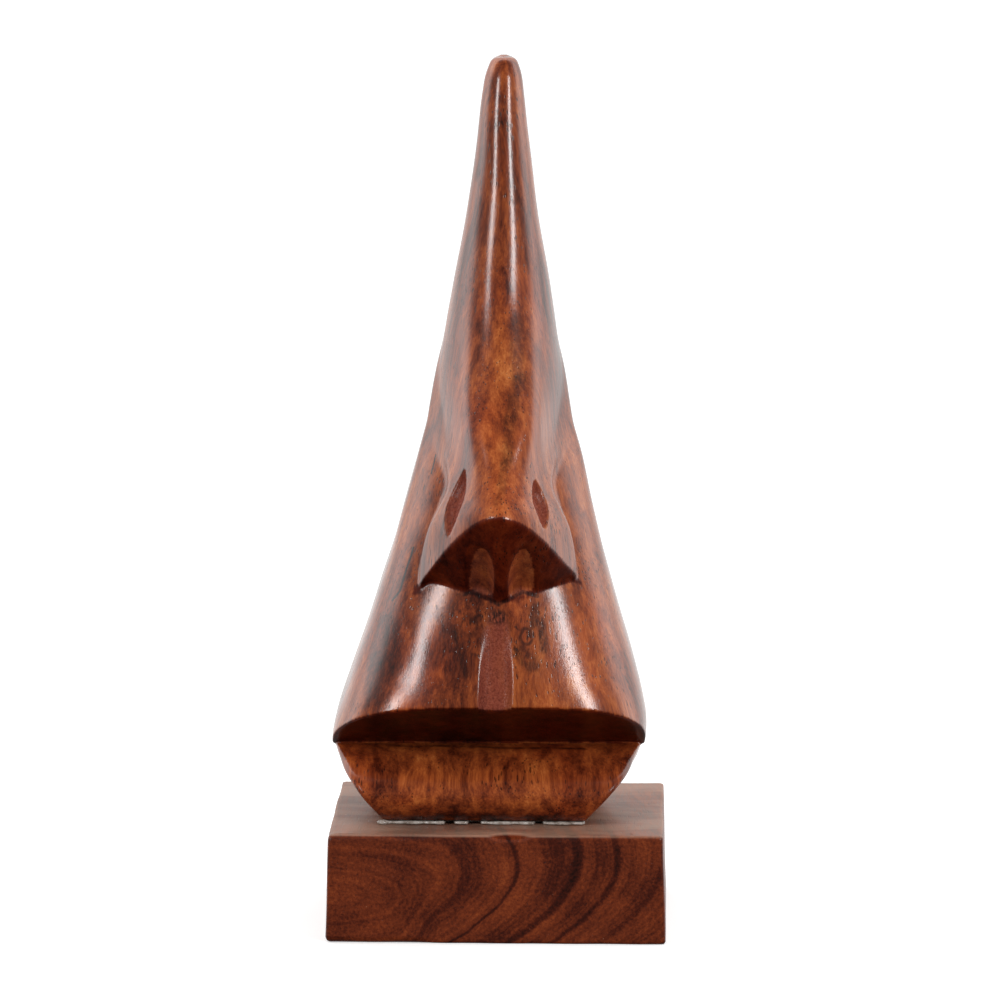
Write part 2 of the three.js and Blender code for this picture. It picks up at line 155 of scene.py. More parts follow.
def smooth_max(a, b, k):
    """The larger of two distances, rounded over k where they meet."""
    h = np.maximum(k - np.abs(a - b), 0) / k
    return np.maximum(a, b) + h * h * k / 4


def smooth_min(a, b, k):
    return -smooth_max(-a, -b, k)


def smoothstep(t):
    t = np.clip(t, 0, 1)
    return t * t * (3 - 2 * t)


def straighten(x, y, z):
    """World millimetres to the straight carving's own x, f, z."""
    turn = FACE_TURN * smoothstep((z - TURN_START_Z) / (TURN_END_Z - TURN_START_Z))
    x = x - np.interp(z, DRIFT_Z, DRIFT_X)
    return (
        x * np.cos(turn) + y * np.sin(turn),
        x * np.sin(turn) - y * np.cos(turn),
        z,
    )


def ellipsoid(p, half, turn):
    """Distance from points to an ellipsoid; turn's rows are its axes."""
    q = [sum(turn[i][j] * p[j] for j in range(3)) for i in range(3)]
    a = np.sqrt(sum((q[i] / half[i]) ** 2 for i in range(3)))
    b = np.sqrt(sum((q[i] / half[i] ** 2) ** 2 for i in range(3)))
    return a * (a - 1) / np.maximum(b, 1e-6)


def oval(x, f, half, front, middle, roundness):
    """Distance to a superellipse section, flatter at the back than at the front."""
    ahead = f > middle
    reach = np.where(ahead, front - middle, middle - BACK_F)
    n = np.where(ahead, roundness, 5.0)
    u = np.maximum(np.abs(x) / half, 1e-4)
    v = np.maximum(np.abs(f - middle) / reach, 1e-4)
    un, vn = u ** (n - 1), v ** (n - 1)
    total = un * u + vn * v
    r = total ** (1 / n)
    slope = total ** (1 / n - 1) * np.hypot(un / half, vn / reach)
    return (r - 1) / np.maximum(slope, 0.02)


def polyline_distance(px, py, points):
    """Signed distance to a closed outline, negative inside."""
    best = np.full(px.shape, 1e9)
    inside = np.zeros(px.shape, bool)
    for (ax, ay), (bx, by) in zip(points, points[1:] + points[:1]):
        ex, ey = bx - ax, by - ay
        t = np.clip(((px - ax) * ex + (py - ay) * ey) / (ex * ex + ey * ey), 0, 1)
        best = np.minimum(best, (px - ax - t * ex) ** 2 + (py - ay - t * ey) ** 2)
        if ay != by:
            crosses = (ay > py) != (by > py)
            inside ^= crosses & (px < (py - ay) * ex / ey + ax)
    return np.where(inside, -1.0, 1.0) * np.sqrt(best)


def chin_outline():
    rows = [(i, f, z) for i, (f, z) in enumerate(CHIN_PROFILE)]
    steps = np.linspace(0, len(rows) - 1, 36)
    f, z = smooth_table(rows, 0.01)(steps)
    curve = list(zip(f.tolist(), z.tolist()))
    return curve + [(14.5, 12.0), (-40.0, 12.0), (-40.0, 36.5), (0.0, 36.5)]


face_table = smooth_table(FACE_LEVELS)
nose_table = smooth_table(NOSE_LEVELS)
chin_table = smooth_table(CHIN_LEVELS)
CHIN_OUTLINE = chin_outline()


def waver(x, y, z):
    """Slow unevenness left by hand sanding, about a tenth of a millimetre."""
    a = np.sin(0.31 * x + 0.17 * z + 1.3) * np.sin(0.23 * y - 0.11 * z + 0.4)
    b = np.sin(0.47 * x - 0.21 * y + 2.1) * np.sin(0.29 * z + 0.19 * x + 0.7)
    return 0.07 * a + 0.05 * b


def mouth_plane(f, z):
    """Distance below the sawn plane that opens the mouth."""
    slope = (MOUTH_LIP[1] - MOUTH_BACK[1]) / (MOUTH_LIP[0] - MOUTH_BACK[0])
    return (MOUTH_BACK[1] + slope * (f - MOUTH_BACK[0]) - z) / math.hypot(1, slope)


def under_nose(x, f, z):
    """Distance below the cut that the nose ends in."""
    ax = np.minimum(np.abs(x - UNDER_X), UNDER_END)
    share = ax / UNDER_HALF
    rise = UNDER_RISE * ax**UNDER_BEND - UNDER_DROOP * share**8
    steep = UNDER_BEND * UNDER_RISE * np.sqrt(ax) - 8 / UNDER_HALF * UNDER_DROOP * share**7
    slope = UNDER_SLOPE - UNDER_SLOPE_LOSS * share**4
    height = UNDER_Z + UNDER_TILT * x + rise + slope * (f - UNDER_F)
    return (height - z) / np.sqrt(1 + slope**2 + steep**2)


def face_field(x, f, z):
    half, front, middle, roundness = face_table(z)
    body = oval(x, f, half, front, middle, roundness)
    body = smooth_max(body, mouth_plane(f, z), 0.5)
    body = np.maximum(body, 33.9 - z)
    return smooth_max(body, z - TIP_Z, 1.0)


def chin_field(x, f, z):
    (half,) = chin_table(z)
    side = (np.abs(x) + CHIN_TAPER * np.maximum(f - CHIN_TAPER_F, 0) - half) * 0.78
    front = polyline_distance(f, z, CHIN_OUTLINE)
    body = smooth_max(front, side, np.interp(z, [22, 25, 29, 32, 34], [0.4, 0.9, 1.4, 1.4, 0.8]))
    return smooth_max(body, BACK_F - f, 5.0)


def nostrils(x, f, z):
    lean = math.pi / 2 - math.atan(NOSTRIL_SLOPE)
    turn = [
        (1, 0, 0),
        (0, math.cos(lean), -math.sin(lean)),
        (0, math.sin(lean), math.cos(lean)),
    ]
    cx, cf, cz = NOSTRIL_CENTRE
    return ellipsoid((np.abs(x - NOSTRIL_SHIFT) - cx, f - cf, z - cz), NOSTRIL_HALF, turn)


def nose_arch(x, f, ridge, edge, edge_f):
    """Rounded section of the upper nose: half an ellipse on its widest line."""
    across, ahead = x / edge, np.maximum(f - edge_f, 0) / (ridge - edge_f)
    r = np.hypot(across, ahead)
    steep = np.hypot(across / edge, ahead / (ridge - edge_f)) / np.maximum(r, 1e-3)
    return (r - 1) / np.maximum(steep, 0.05)


def nose_field(x, f, z):
    ridge, band, edge, edge_f, back, rounding = nose_table(z)
    ax = np.abs(x)
    climb = np.interp(z, [60, 80, 84, 90, 102, 122, 165], [0, 0.1, 0.75, 0.6, 0.5, 0.35, 0.3])
    crown = (f - ridge + CROWN_BOW * x**2 / band) / np.hypot(1, climb)
    start = ridge - CROWN_BOW * band
    dx, df = edge - band, edge_f - start
    length = np.hypot(dx, df)
    flank = ((ax - band) * -df + (f - start) * dx) / length
    wx, wf = 0.12 * edge, edge_f - back
    wall = ((ax - edge) * wf - (f - edge_f) * wx) / np.hypot(wx, wf)
    body = smooth_max(crown, flank, rounding)
    arch = nose_arch(x, f, ridge, edge, edge_f) / np.hypot(1, 0.6 * climb)
    body = body + (arch - body) * smoothstep((z - ARCH_START_Z) / (ARCH_END_Z - ARCH_START_Z))
    body = smooth_max(body, wall, np.interp(z, [80, 88, 100, 116], [0.8, 1.2, 2.2, 0.6]))
    body = np.maximum(body, back - f)
    body = smooth_max(body, under_nose(x, f, z), 0.45)
    body = smooth_max(body, z - TIP_Z + 0.3, 1.2)
    return smooth_max(body, -nostrils(x, f, z), 0.7)


def leaf_depth(leaf, x, f, z):
    """How deep one pointed gouge cut goes below the flank at each point."""
    top, bottom, half_width, depth = leaf
    top, bottom = np.array(top), np.array(bottom)
    half_length = np.linalg.norm(bottom - top) / 2
    along = (bottom - top) / (2 * half_length)
    out = np.array(LEAF_OUT) * (np.sign(top[0]), 1, 1)
    out = out - along * (out @ along)
    out = out / np.linalg.norm(out)
    p = np.stack([x, f, z], axis=-1) - (top + bottom) / 2
    u, v, w = p @ along, p @ np.cross(along, out), p @ out
    radius = (half_length**2 + half_width**2) / (2 * half_width)
    edge = radius - np.hypot(u, np.abs(v) + radius - half_width)
    t = np.clip(edge / half_width, 0, 1) * (np.abs(w) < 4)
    return depth * t * (2 - t)


def philtrum_field(x, f, z):
    """An elliptic gouge that runs from under the nose down to the lip."""
    (top_f, top_z), (low_f, low_z) = PHILTRUM_TOP, PHILTRUM_LOW
    half_width, half_depth = PHILTRUM_HALF
    length = math.hypot(low_f - top_f, low_z - top_z)
    ux, uz = (low_f - top_f) / length, (low_z - top_z) / length
    deep = (f - top_f) * -uz + (z - top_z) * ux
    along = (f - top_f) * ux + (z - top_z) * uz
    r = np.hypot(x / half_width, deep / half_depth)
    steep = np.hypot(x / half_width**2, deep / half_depth**2) / np.maximum(r, 1e-3)
    tube = (r - 1) / np.maximum(steep, 0.05)
    return np.maximum(tube, -along - 1)


def within(field, low, high, x, f, z, outside=9.0):
    """The field where low < z < high, and a constant elsewhere."""
    near = (z > low) & (z < high)
    value = np.full(np.shape(z), outside)
    value[near] = field(x[near], f[near], z[near])
    return value


def carving_field(x, y, z):
    """Signed distance of the whole carving, in world millimetres."""
    pilots = np.maximum(screw_hole(x, y, SHANK_RADIUS + FIT_GAP), z - TIP_HOLE_Z)
    uneven = waver(x, y, z)
    x, f, z = straighten(x, y, z)
    body = face_field(x, f, z)
    body = smooth_max(body, -within(philtrum_field, 38, 70, x, f, z), 0.6)
    blend = np.interp(z, [66, 80, 86, 92, 98, 110, 125, 150], [0.4, 0.6, 1.6, 3.0, 3.0, 1.8, 1.0, 0.6])
    body = smooth_min(body, within(nose_field, 58, 166, x, f, z), blend)
    for leaf in LEAVES:
        body = body + within(functools.partial(leaf_depth, leaf), 74, 92, x, f, z, 0.0)
    body = smooth_min(body, within(chin_field, 0, 40, x, f, z), 0.5)
    body = body + uneven * smoothstep((z - FOOT_Z) / 6)
    return np.maximum(smooth_max(body, FOOT_Z - z, 0.3), -pilots)


# ---------------------------------------------------------------------------
# Shapes of the base block, the glue and the screws, in millimetres
# ---------------------------------------------------------------------------

WIDTH_TOP, WIDTH_BOTTOM, DEPTH, HEIGHT, CORNER = 63.2, 64.4, 50.8, 20.85, 0.6
SCREW_X, SCREW_Y, FIT_GAP = (-12.0, 7.0), 4.0, 0.3
HEAD_Z, HEAD_RADIUS, HEAD_HEIGHT, HEAD_RIM = 1.2, 3.8, 2.4, 0.4
SHANK_RADIUS, CORE_RADIUS, SCREW_TIP_Z = 1.9, 1.35, 31.2
THREAD_START_Z, THREAD_PITCH, TIP_HOLE_Z = 17.2, 1.8, 31.8
SLOT_LENGTH, SLOT_WIDTH, SLOT_DEPTH = 4.4, 0.9, 1.4
GLUE_BOTTOM, GLUE_TOP = 20.95, 21.5
GLUE_FRONT, GLUE_RECESS, GLUE_BACK, GLUE_SIDES = 16.1, 13.5, -15.2, (-21.9, 16.7)
GLUE_BREAKS = [(-9.8, -8.2), (-5.4, -3.1), (7.2, 8.7)]


def screw_hole(x, y, radius):
    """Distance to the nearer of two upright holes."""
    return np.minimum(*[np.hypot(x - sx, y - SCREW_Y) for sx in SCREW_X]) - radius


def block_field(x, y, z):
    """A planed offcut with rubbed edges, its countersunk screw holes and a worn dip at the front."""
    half = (WIDTH_BOTTOM + (WIDTH_TOP - WIDTH_BOTTOM) * z / HEIGHT) / 2
    qx, qy = np.abs(x) - half + CORNER, np.abs(y) - DEPTH / 2 + CORNER
    sides = np.hypot(np.maximum(qx, 0), np.maximum(qy, 0)) + np.minimum(np.maximum(qx, qy), 0) - CORNER
    wear = 0.6 + 0.25 * np.sin(0.29 * x + 0.13 * y + 0.8) * np.sin(0.19 * y - 0.21 * x)
    wear = wear + 0.5 * smoothstep((-9 - x) / 6) * smoothstep((-20 - y) / 3)
    body = smooth_max(sides, np.abs(z - HEIGHT / 2) - HEIGHT / 2, wear)
    dip = ellipsoid((x - 2.6, y + DEPTH / 2, z - HEIGHT - 0.15), (3.6, 2.4, 0.95), np.eye(3))
    body = smooth_max(body, -dip, 0.8)
    flat = 0.05 * np.sin(0.23 * x + 0.4) * np.sin(0.19 * y + 0.31 * z + 1.1)
    radius = np.interp(
        z,
        [HEAD_Z, HEAD_Z + HEAD_HEIGHT + FIT_GAP],
        [HEAD_RADIUS + FIT_GAP, SHANK_RADIUS + FIT_GAP],
    )
    return np.maximum(body + flat * smoothstep(z / 3), -0.8 * screw_hole(x, y, radius))


def glue_field(x, y, z):
    """A thin film under the foot, with an uneven bead squeezed out along the front."""
    f = -y
    lumps = 0.25 * np.sin(1.1 * x + 0.6) + 0.16 * np.sin(2.7 * x + 2.0) * np.sin(0.6 * x)
    front = GLUE_FRONT + lumps
    for start, end in GLUE_BREAKS:
        middle, half = (start + end) / 2, (end - start) / 2
        front = front - (front - GLUE_RECESS) * smoothstep((half + 0.25 - np.abs(x - middle)) / 0.5)
    left, right = GLUE_SIDES
    middle = (left + right) / 2
    across = np.abs(x - middle) - (right - left) / 2 + 0.7 * smoothstep((14.5 - f) / 1.5)
    outline = smooth_max(smooth_max(f - front, across, 0.6), GLUE_BACK - f, 0.6)
    swell = smoothstep((f - 15.2) / 0.5)
    top = GLUE_TOP + (0.04 + 0.3 * lumps) * swell
    slab = np.abs(z - (top + GLUE_BOTTOM) / 2) - (top - GLUE_BOTTOM) / 2
    body = smooth_max(outline, slab, 0.35)
    blob = ellipsoid((x - left - 0.1, f - 15.9, z - 21.3), (1.0, 0.8, 0.45), np.eye(3))
    body = smooth_min(body, blob, 0.4)
    body = np.maximum(body, 0.03 - carving_field(x, y, z))
    return np.maximum(body, -screw_hole(x, y, SHANK_RADIUS + 2 * FIT_GAP))


def screw_field(x, y, z):
    """One countersunk cross-slot wood screw with a helical thread."""
    x, y = x - SCREW_X[0], y - SCREW_Y
    neck = HEAD_Z + HEAD_HEIGHT
    turns = z / THREAD_PITCH - np.arctan2(y, x) / (2 * math.pi)
    crest = np.clip(1.5 * np.abs(2 * (turns % 1) - 1) - 0.5, 0, 1)
    thread = CORE_RADIUS + (SHANK_RADIUS - CORE_RADIUS) * crest
    radius = np.where(z < THREAD_START_Z, SHANK_RADIUS, thread)
    head = np.interp(z, [HEAD_Z + HEAD_RIM, neck], [HEAD_RADIUS, SHANK_RADIUS])
    radius = np.where(z < neck, head, radius)
    radius = radius * np.clip((SCREW_TIP_Z - z) / 4, 0, 1) ** 0.6
    body = np.maximum(0.7 * (np.hypot(x, y) - radius), HEAD_Z - z)
    inner = z - HEAD_Z - SLOT_DEPTH
    slots = [
        np.maximum(np.maximum(np.abs(a) - SLOT_LENGTH / 2, np.abs(b) - SLOT_WIDTH / 2), inner)
        for a, b in ((x, y), (y, x))
    ]
    return np.maximum(body, -np.minimum(*slots))


# ---------------------------------------------------------------------------
# Meshing a signed distance
# ---------------------------------------------------------------------------


def sample(field, low, high, step):
    """The field on a grid, worked out finely only near the surface."""
    coarse = 4
    counts = [int(math.ceil((b - a) / (step * coarse))) * coarse + 1 for a, b in zip(low, high)]
    axes = [a + step * np.arange(n) for a, n in zip(low, counts)]
    rough = field(*np.meshgrid(*[axis[::coarse] for axis in axes], indexing="ij"))
    near = np.abs(rough) < step * coarse * 1.5
    cells = np.zeros([n - 1 for n in near.shape], bool)
    for corner in np.ndindex(2, 2, 2):
        cells |= near[tuple(slice(c, c + n) for c, n in zip(corner, cells.shape))]
    values = rough
    for axis in range(3):
        values = np.repeat(values, coarse, axis)
    values = values[: counts[0], : counts[1], : counts[2]].astype(np.float32)
    fine = np.zeros(counts, bool)
    for cell in np.argwhere(cells) * coarse:
        fine[tuple(slice(start, start + coarse + 1) for start in cell)] = True
    where = np.nonzero(fine)
    values[where] = field(*[axis[i] for axis, i in zip(axes, where)])
    return values, np.array(low)


CORNERS = np.array(list(np.ndindex(2, 2, 2)))
EDGES = [(a, b) for a in range(8) for b in range(a) if abs(CORNERS[a] - CORNERS[b]).sum() == 1]


def surface_net(values, low, step):
    """Vertices and quads of the zero surface: one vertex per mixed cell."""
    inside = values < 0
    shape = [n - 1 for n in values.shape]
    total = np.zeros(shape, np.int8)
    for corner in CORNERS:
        total += inside[tuple(slice(c, c + n) for c, n in zip(corner, shape))]
    cells = np.argwhere((total > 0) & (total < 8))
    corner_values = np.stack([values[tuple((cells + corner).T)] for corner in CORNERS], axis=1)
    place, hits = np.zeros((len(cells), 3)), np.zeros(len(cells))
    for a, b in EDGES:
        va, vb = corner_values[:, a], corner_values[:, b]
        crossed = (va < 0) != (vb < 0)
        t = np.where(crossed, va / np.where(crossed, va - vb, 1), 0)[:, None]
        point = CORNERS[a] * (1 - t) + CORNERS[b] * t
        place += point * crossed[:, None]
        hits += crossed
    vertices = low + step * (cells + place / hits[:, None])
    number = np.full(shape, -1, np.int32)
    number[tuple(cells.T)] = np.arange(len(cells))
    quads = []
    for axis in range(3):
        u, v = (axis + 1) % 3, (axis + 2) % 3
        ahead = [slice(None)] * 3
        ahead[axis] = slice(1, None)
        behind = [slice(None)] * 3
        behind[axis] = slice(None, -1)
        first, second = inside[tuple(behind)], inside[tuple(ahead)]
        edge = np.argwhere(first != second)
        edge = edge[(edge[:, u] > 0) & (edge[:, v] > 0)]
        ring = []
        for du, dv in ((0, 0), (1, 0), (1, 1), (0, 1)):
            cell = edge.copy()
            cell[:, u] -= du
            cell[:, v] -= dv
            ring.append(number[tuple(cell.T)])
        ring = np.stack(ring, axis=1)
        leaving = first[tuple(edge.T)]
        ring[~leaving] = ring[~leaving][:, ::-1]
        quads.append(ring)
    return vertices, np.concatenate(quads)


def relax(vertices, quads, rounds=4):
    """Evens out the spacing of the vertices."""
    a, b = quads.ravel(), np.roll(quads, -1, axis=1).ravel()
    count = np.bincount(a, minlength=len(vertices)) + np.bincount(b, minlength=len(vertices))
    for _ in range(rounds):
        total = [
            np.bincount(a, vertices[b, k], len(vertices))
            + np.bincount(b, vertices[a, k], len(vertices))
            for k in range(3)
        ]
        vertices = vertices + 0.5 * (np.stack(total, axis=1) / count[:, None] - vertices)
    return vertices


def settle(field, vertices, limit, rounds=2):
    """Moves vertices onto the true surface along its gradient."""
    h = 0.02
    for _ in range(rounds):
        value = field(*vertices.T)
        gradient = np.stack(
            [(field(*(vertices + d).T) - field(*(vertices - d).T)) / (2 * h) for d in np.eye(3) * h],
            axis=1,
        )
        size = np.maximum((gradient**2).sum(axis=1), 0.05)
        move = -(value / size)[:, None] * gradient
        length = np.linalg.norm(move, axis=1)[:, None]
        vertices = vertices + move * np.minimum(1, limit / np.maximum(length, 1e-9))
    return vertices


def mesh_object(name, vertices, faces, smooth=True):
    mesh = bpy.data.meshes.new(name)
    mesh.from_pydata((vertices * MM).tolist(), [], faces.tolist())
    mesh.validate()
    mesh.polygons.foreach_set("use_smooth", [smooth] * len(mesh.polygons))
    obj = bpy.data.objects.new(name, mesh)
    bpy.context.scene.collection.objects.link(obj)
    return obj


def carve(name, field, low, high, step, triangles):
    """A mesh of a signed distance, thinned to a number of triangles."""
    values, low = sample(field, low, high, step)
    vertices, quads = surface_net(values, low, step)
    vertices = settle(field, relax(vertices, quads), step * 0.6)
    obj = mesh_object(name, vertices, quads)
    thin = obj.modifiers.new("thin", "DECIMATE")
    thin.ratio = min(1.0, triangles / (2 * len(quads)))
    finished = bpy.data.meshes.new_from_object(
        obj.evaluated_get(bpy.context.evaluated_depsgraph_get())
    )
    obj.modifiers.clear()
    obj.data = finished
    return obj


def finish_piece(obj, node, material):
    """Puts a fine piece in the place of its CAD node."""
    obj.data.materials.clear()
    obj.data.materials.append(material)
    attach(obj, "root")
    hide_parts(node)


def place_attribute(obj, name, values):
    layer = obj.data.attributes.new(name, "FLOAT", "POINT")
    layer.data.foreach_set("value", np.asarray(values, np.float32))


def carving_masks(obj):
    """Marks gouged floors and sawn planes on the carving, for its material, which paints shade on the sawn
    planes.
    """
    place = np.zeros(len(obj.data.vertices) * 3, np.float32)
    obj.data.vertices.foreach_get("co", place)
    x, f, z = straighten(*(place.reshape(-1, 3).astype(float).T / MM))
    gouged = np.zeros(len(x))
    for leaf in LEAVES:
        gouged = np.maximum(gouged, smoothstep(leaf_depth(leaf, x, f, z) / 0.3))
    in_nose = (z > 62) & (z < 84) & (f > 8) & (under_nose(x, f, z) < -0.12)
    gouged = np.maximum(gouged, 0.3 * in_nose * smoothstep((0.35 - nostrils(x, f, z)) / 0.4))
    lip = ((z > 43.5) & (f > 10) & (f < 21)) * smoothstep((63.5 - z) / 4)
    gouged = np.maximum(gouged, lip * smoothstep((0.3 - philtrum_field(x, f, z)) / 0.35))
    mouth = (np.abs(mouth_plane(f, z)) < 0.3) & (f > 1.5) & (f < 23)
    under = (np.abs(under_nose(x, f, z)) < 0.4) & (z > 62) & (f > 9.5) & (np.abs(x) < 16)
    place_attribute(obj, "gouged", gouged)
    place_attribute(obj, "sawn", mouth | under)


# ---------------------------------------------------------------------------
# Materials
# ---------------------------------------------------------------------------


def paint(red, green, blue):
    """A linear colour from 0-255 display values."""
    parts = [c / 255 for c in (red, green, blue)]
    return (*[c / 12.92 if c <= 0.04045 else ((c + 0.055) / 1.055) ** 2.4 for c in parts], 1.0)


class Look:
    """Short ways to build one material's nodes. Places are in millimetres."""

    def __init__(self, name):
        self.material = bpy.data.materials.new(name)
        self.material.use_nodes = True
        self.tree = self.material.node_tree
        self.shader = self.tree.nodes["Principled BSDF"]
        coordinate = self.add("TexCoord", {})
        self.place = self.vector("MULTIPLY", coordinate.outputs["Object"], (1 / MM,) * 3)

    def put(self, socket, value):
        if isinstance(value, bpy.types.NodeSocket):
            self.tree.links.new(value, socket)
        else:
            socket.default_value = value

    def add(self, kind, inputs, **settings):
        node = self.tree.nodes.new("ShaderNode" + kind)
        for name, value in settings.items():
            setattr(node, name, value)
        for name, value in inputs.items():
            self.put(node.inputs[name], value)
        return node

    def surface(self, **values):
        for name, value in values.items():
            self.put(self.shader.inputs[name.replace("_", " ")], value)

    def math(self, operation, *values):
        return self.add("Math", dict(enumerate(values)), operation=operation).outputs[0]

    def vector(self, operation, *values):
        node = self.add("VectorMath", dict(enumerate(values)), operation=operation)
        return node.outputs["Value" if operation in ("LENGTH", "DISTANCE") else "Vector"]

    def stretch(self, place, x, y, z):
        return self.vector("MULTIPLY", place, (x, y, z))

    def noise(self, place, scale=1.0, detail=4.0, rough=0.5, swirl=0.0, output="Fac"):
        inputs = {
            "Vector": place,
            "Scale": scale,
            "Detail": detail,
            "Roughness": rough,
            "Distortion": swirl,
        }
        return self.add("TexNoise", inputs).outputs[output]

    def wander(self, place, scale, amount):
        """A place moved about by slow noise, by up to about half the amount."""
        shift = self.vector("SUBTRACT", self.noise(place, scale, 2.0, output="Color"), (0.5,) * 3)
        return self.vector("ADD", place, self.vector("MULTIPLY", shift, amount))

    def band(self, value, low, high, to_low=0.0, to_high=1.0):
        """Goes smoothly from one value to another as the input goes from low to high."""
        inputs = {
            "Value": value,
            "From Min": low,
            "From Max": high,
            "To Min": to_low,
            "To Max": to_high,
        }
        return self.add("MapRange", inputs, interpolation_type="SMOOTHSTEP").outputs[0]

    def spot(self, place, centre, half, soft=0.5):
        """1 within an ellipsoid and 0 outside, with a soft edge."""
        away = self.vector("SUBTRACT", place, centre)
        away = self.vector("DIVIDE", away, half)
        return self.band(self.vector("LENGTH", away), 1.0, 1.0 - soft)

    def stroke(self, place, start, end, width):
        """1 on a straight line between two places and 0 beyond its width."""
        start, end = Vector(start), Vector(end)
        along = self.vector("SUBTRACT", place, start)
        direction = (end - start).normalized()
        reach = self.add("VectorMath", {0: along, 1: direction}, operation="DOT_PRODUCT").outputs["Value"]
        reach = self.math("MINIMUM", self.math("MAXIMUM", reach, 0.0), (end - start).length)
        nearest = self.add("VectorMath", {0: direction, "Scale": reach}, operation="SCALE").outputs[0]
        return self.band(self.vector("DISTANCE", along, nearest), width, width * 0.3)

    def mix(self, factor, a, b, blend="MIX"):
        node = self.add("Mix", {}, data_type="RGBA", blend_type=blend)
        for i, value in ((0, factor), (6, a), (7, b)):
            self.put(node.inputs[i], value)
        return node.outputs[2]

    def ramp(self, factor, stops):
        node = self.add("ValToRGB", {"Fac": factor})
        elements = node.color_ramp.elements
        while len(elements) < len(stops):
            elements.new(0.5)
        for element, (position, colour) in zip(elements, stops):
            element.position = position
            element.color = colour
        return node.outputs["Color"]

    def bump(self, height, depth_mm):
        inputs = {"Height": height, "Distance": depth_mm * MM, "Strength": 1.0}
        return self.add("Bump", inputs).outputs["Normal"]


WOOD_TONES = [
    (0.0, paint(30, 9, 5)),
    (0.22, paint(78, 28, 13)),
    (0.42, paint(126, 56, 26)),
    (0.62, paint(165, 82, 37)),
    (0.82, paint(196, 112, 56)),
    (1.0, paint(222, 150, 88)),
]
# x, z, radius and strength of the two small knots in the upper lip
KNOTS = [(-5.3, 59.3, 1.45, 0.45), (5.6, 57.4, 1.15, 0.85)]
# x, z of both ends, width and strength of dark strokes: grain in the lip and down the ridge, and painted
# crevice shadow under the nose
DARK_STROKES = [
    ((-8.0, 58.4), (-5.9, 50.5), 1.1, 0.75),
    ((-4.3, 60.2), (-3.2, 60.9), 1.2, 0.9),
    ((8.3, 60.0), (8.9, 55.0), 1.4, 0.8),
    ((4.6, 54.6), (6.6, 52.0), 2.1, 0.7),
    ((7.4, 62.5), (6.6, 59.3), 1.3, 0.7),
    # painted crevice shadow along the line where the nose's underside meets the lip
    ((-7.2, 64.9), (-4.6, 65.5), 0.6, 0.9),
    ((-4.6, 65.5), (0.3, 63.2), 0.6, 0.9),
    ((0.3, 63.2), (4.8, 65.4), 0.6, 0.9),
    ((4.8, 65.4), (7.4, 64.8), 0.6, 0.9),
    ((3.2, 116.0), (3.9, 105.3), 1.7, 0.5),
    ((3.9, 105.3), (2.5, 98.3), 1.8, 0.55),
    ((2.5, 98.3), (1.9, 90.9), 1.7, 0.5),
    ((1.9, 90.9), (0.6, 84.0), 1.4, 0.45),
    ((2.6, 160.0), (2.6, 138.0), 1.4, 0.45),
]
# x, z along two drying cracks in the left cheek, and their widths
CRACKS = [
    ([(-20.1, 62.7), (-18.6, 64.8), (-16.1, 72.7)], 0.27),
    ([(-12.9, 86.2), (-12.1, 89.6)], 0.18),
]
# x, y of both ends of the line scored across the top of the chin, its half width, and its z range
SCORE_LINE, SCORE_WIDTH = [(-21.0, -4.6), (16.5, -5.9)], 0.8
SCORE_LOW_Z, SCORE_HIGH_Z = 30.0, 34.2
# The cracks and dark strokes stay on the wood in front of this y.
MARKS_BACK_Y = 4.0
CHIN_GRAIN_LEAN, CHIN_GRAIN_TOP_Z = math.radians(52), 34.15


def pores(look, place, spacing, length):
    """Open pores: thin dark strokes along the grain."""
    stretched = look.stretch(place, 1 / spacing, 1 / spacing, 1 / length)
    inputs = {"Vector": stretched, "Scale": 1.0, "Randomness": 1.0}
    cells = look.add("TexVoronoi", inputs).outputs["Distance"]
    patchy = look.noise(place, 0.09, 3.0, 0.6)
    size = look.band(patchy, 0.35, 0.7, 0.05, 0.26)
    gap = look.math("SUBTRACT", cells, size)
    return look.band(gap, 0.06, -0.02)


def knot_shade(look, knot):
    """How dark the wood is round a small branch: a ragged ring, and torn grain beside it."""
    x, z, radius, strength = knot
    ragged = look.wander(look.stretch(look.place, 1, 0, 0.85), 0.6, (0.9, 0.0, 0.9))
    away = look.vector("DISTANCE", ragged, (x, 0.0, z * 0.85))
    away = look.math("DIVIDE", away, radius)
    ring = look.math("MULTIPLY", look.band(away, 0.62, 0.95), look.band(away, 1.55, 1.1))
    halo = look.band(away, 5.0, 1.6)
    torn = look.band(look.noise(look.stretch(look.place, 1.1, 1.1, 0.3), 1.0, 5.0, 0.7, 0.5), 0.5, 0.62)
    heart = look.band(away, 0.95, 0.7)
    broken = look.band(look.noise(look.place, 0.6, 3.0, 0.6), 0.3, 0.5, 0.4, 1.0)
    ring = look.math("MULTIPLY", look.math("MULTIPLY", ring, broken), strength)
    dark = look.math("MAXIMUM", ring, look.math("MULTIPLY", halo, torn))
    return dark, look.math("MULTIPLY", heart, 0.5 * strength)


def lean_grain(look, place):
    """The grain of the chin leans back, so that it runs up over the rounding."""
    inputs = {"Vector": place, "Angle": CHIN_GRAIN_LEAN}
    turned = look.add("VectorRotate", inputs, rotation_type="X_AXIS").outputs[0]
    height = look.add("SeparateXYZ", {0: look.place}).outputs["Z"]
    chin = look.math("LESS_THAN", height, CHIN_GRAIN_TOP_Z)
    node = look.add("Mix", {}, data_type="VECTOR")
    for i, value in ((0, chin), (4, place), (5, turned)):
        look.put(node.inputs[i], value)
    return node.outputs[1]


